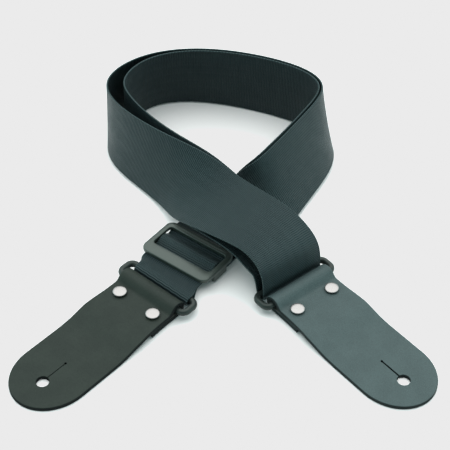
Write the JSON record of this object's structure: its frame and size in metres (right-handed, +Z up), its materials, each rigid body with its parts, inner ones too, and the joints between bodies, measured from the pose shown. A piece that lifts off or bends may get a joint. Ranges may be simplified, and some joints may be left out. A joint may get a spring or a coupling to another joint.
{
  "type": "guitar strap",
  "caption": "Webbing guitar strap with a slide adjuster and leather ends on plastic rings; each end has a slit button hole that goes over a strap button.",
  "frame": {"origin": "centre of the coiled strap's footprint, on the table it lies on", "axes": "+Z up from the table; -Y towards the two leather ends and +Y towards the closed back of the loop; +X towards the right-hand leather end, seen from the ends with +Z up"},
  "size_m": [0.2604, 0.3034, 0.0506],
  "materials": {
    "webbing": "satin woven, blue-green black",
    "thread": "matt stitched thread",
    "plastic": "satin moulded",
    "left_leather": "smooth, warm dark olive grey",
    "right_leather": "smooth, cool dark grey",
    "nickel": "bright nickel plate"
  },
  "bodies": {
    "webbing": {"webbing": "webbing", "left_ring_tack": "thread"},
    "adjuster": {"tri_glide_adjuster": "plastic", "webbing_bar_loop": "webbing", "bar_loop_tack": "thread"},
    "left_ring": {"left_ring": "plastic"},
    "left_end": {"left_leather_end": "left_leather", "left_rivet_cap_1": "nickel", "left_rivet_cap_2": "nickel", "left_rivet_post_1": "nickel", "left_rivet_post_2": "nickel"},
    "right_ring": {"right_ring": "plastic"},
    "right_end": {"right_leather_end": "right_leather", "right_rivet_cap_1": "nickel", "right_rivet_cap_2": "nickel", "right_rivet_post_1": "nickel", "right_rivet_post_2": "nickel"}
  },
  "joints": [
    {"name": "adjuster_slide", "type": "slide", "parent": "webbing", "child": "adjuster", "axis": [0.6088, 0.7934, 0], "range_m": [-0.002, 0.006]},
    {"name": "left_ring_swing", "type": "hinge", "parent": "webbing", "child": "left_ring", "pos_m": [-0.03886, -0.0513, 0.0064], "axis": [-0.7501, 0.6613, 0], "range_deg": [-50, 60]},
    {"name": "left_end_swing", "type": "hinge", "parent": "left_ring", "child": "left_end", "pos_m": [-0.0468, -0.0603, 0.0064], "axis": [-0.7501, 0.6613, 0], "range_deg": [-50, 60]},
    {"name": "right_ring_swing", "type": "hinge", "parent": "webbing", "child": "right_ring", "pos_m": [0.04248, -0.04695, 0.0064], "axis": [-0.7793, -0.6266, 0], "range_deg": [-50, 30]},
    {"name": "right_end_swing", "type": "hinge", "parent": "right_ring", "child": "right_end", "pos_m": [0.05, -0.0563, 0.0064], "axis": [-0.7793, -0.6266, 0], "range_deg": [-50, 45]}
  ]
}
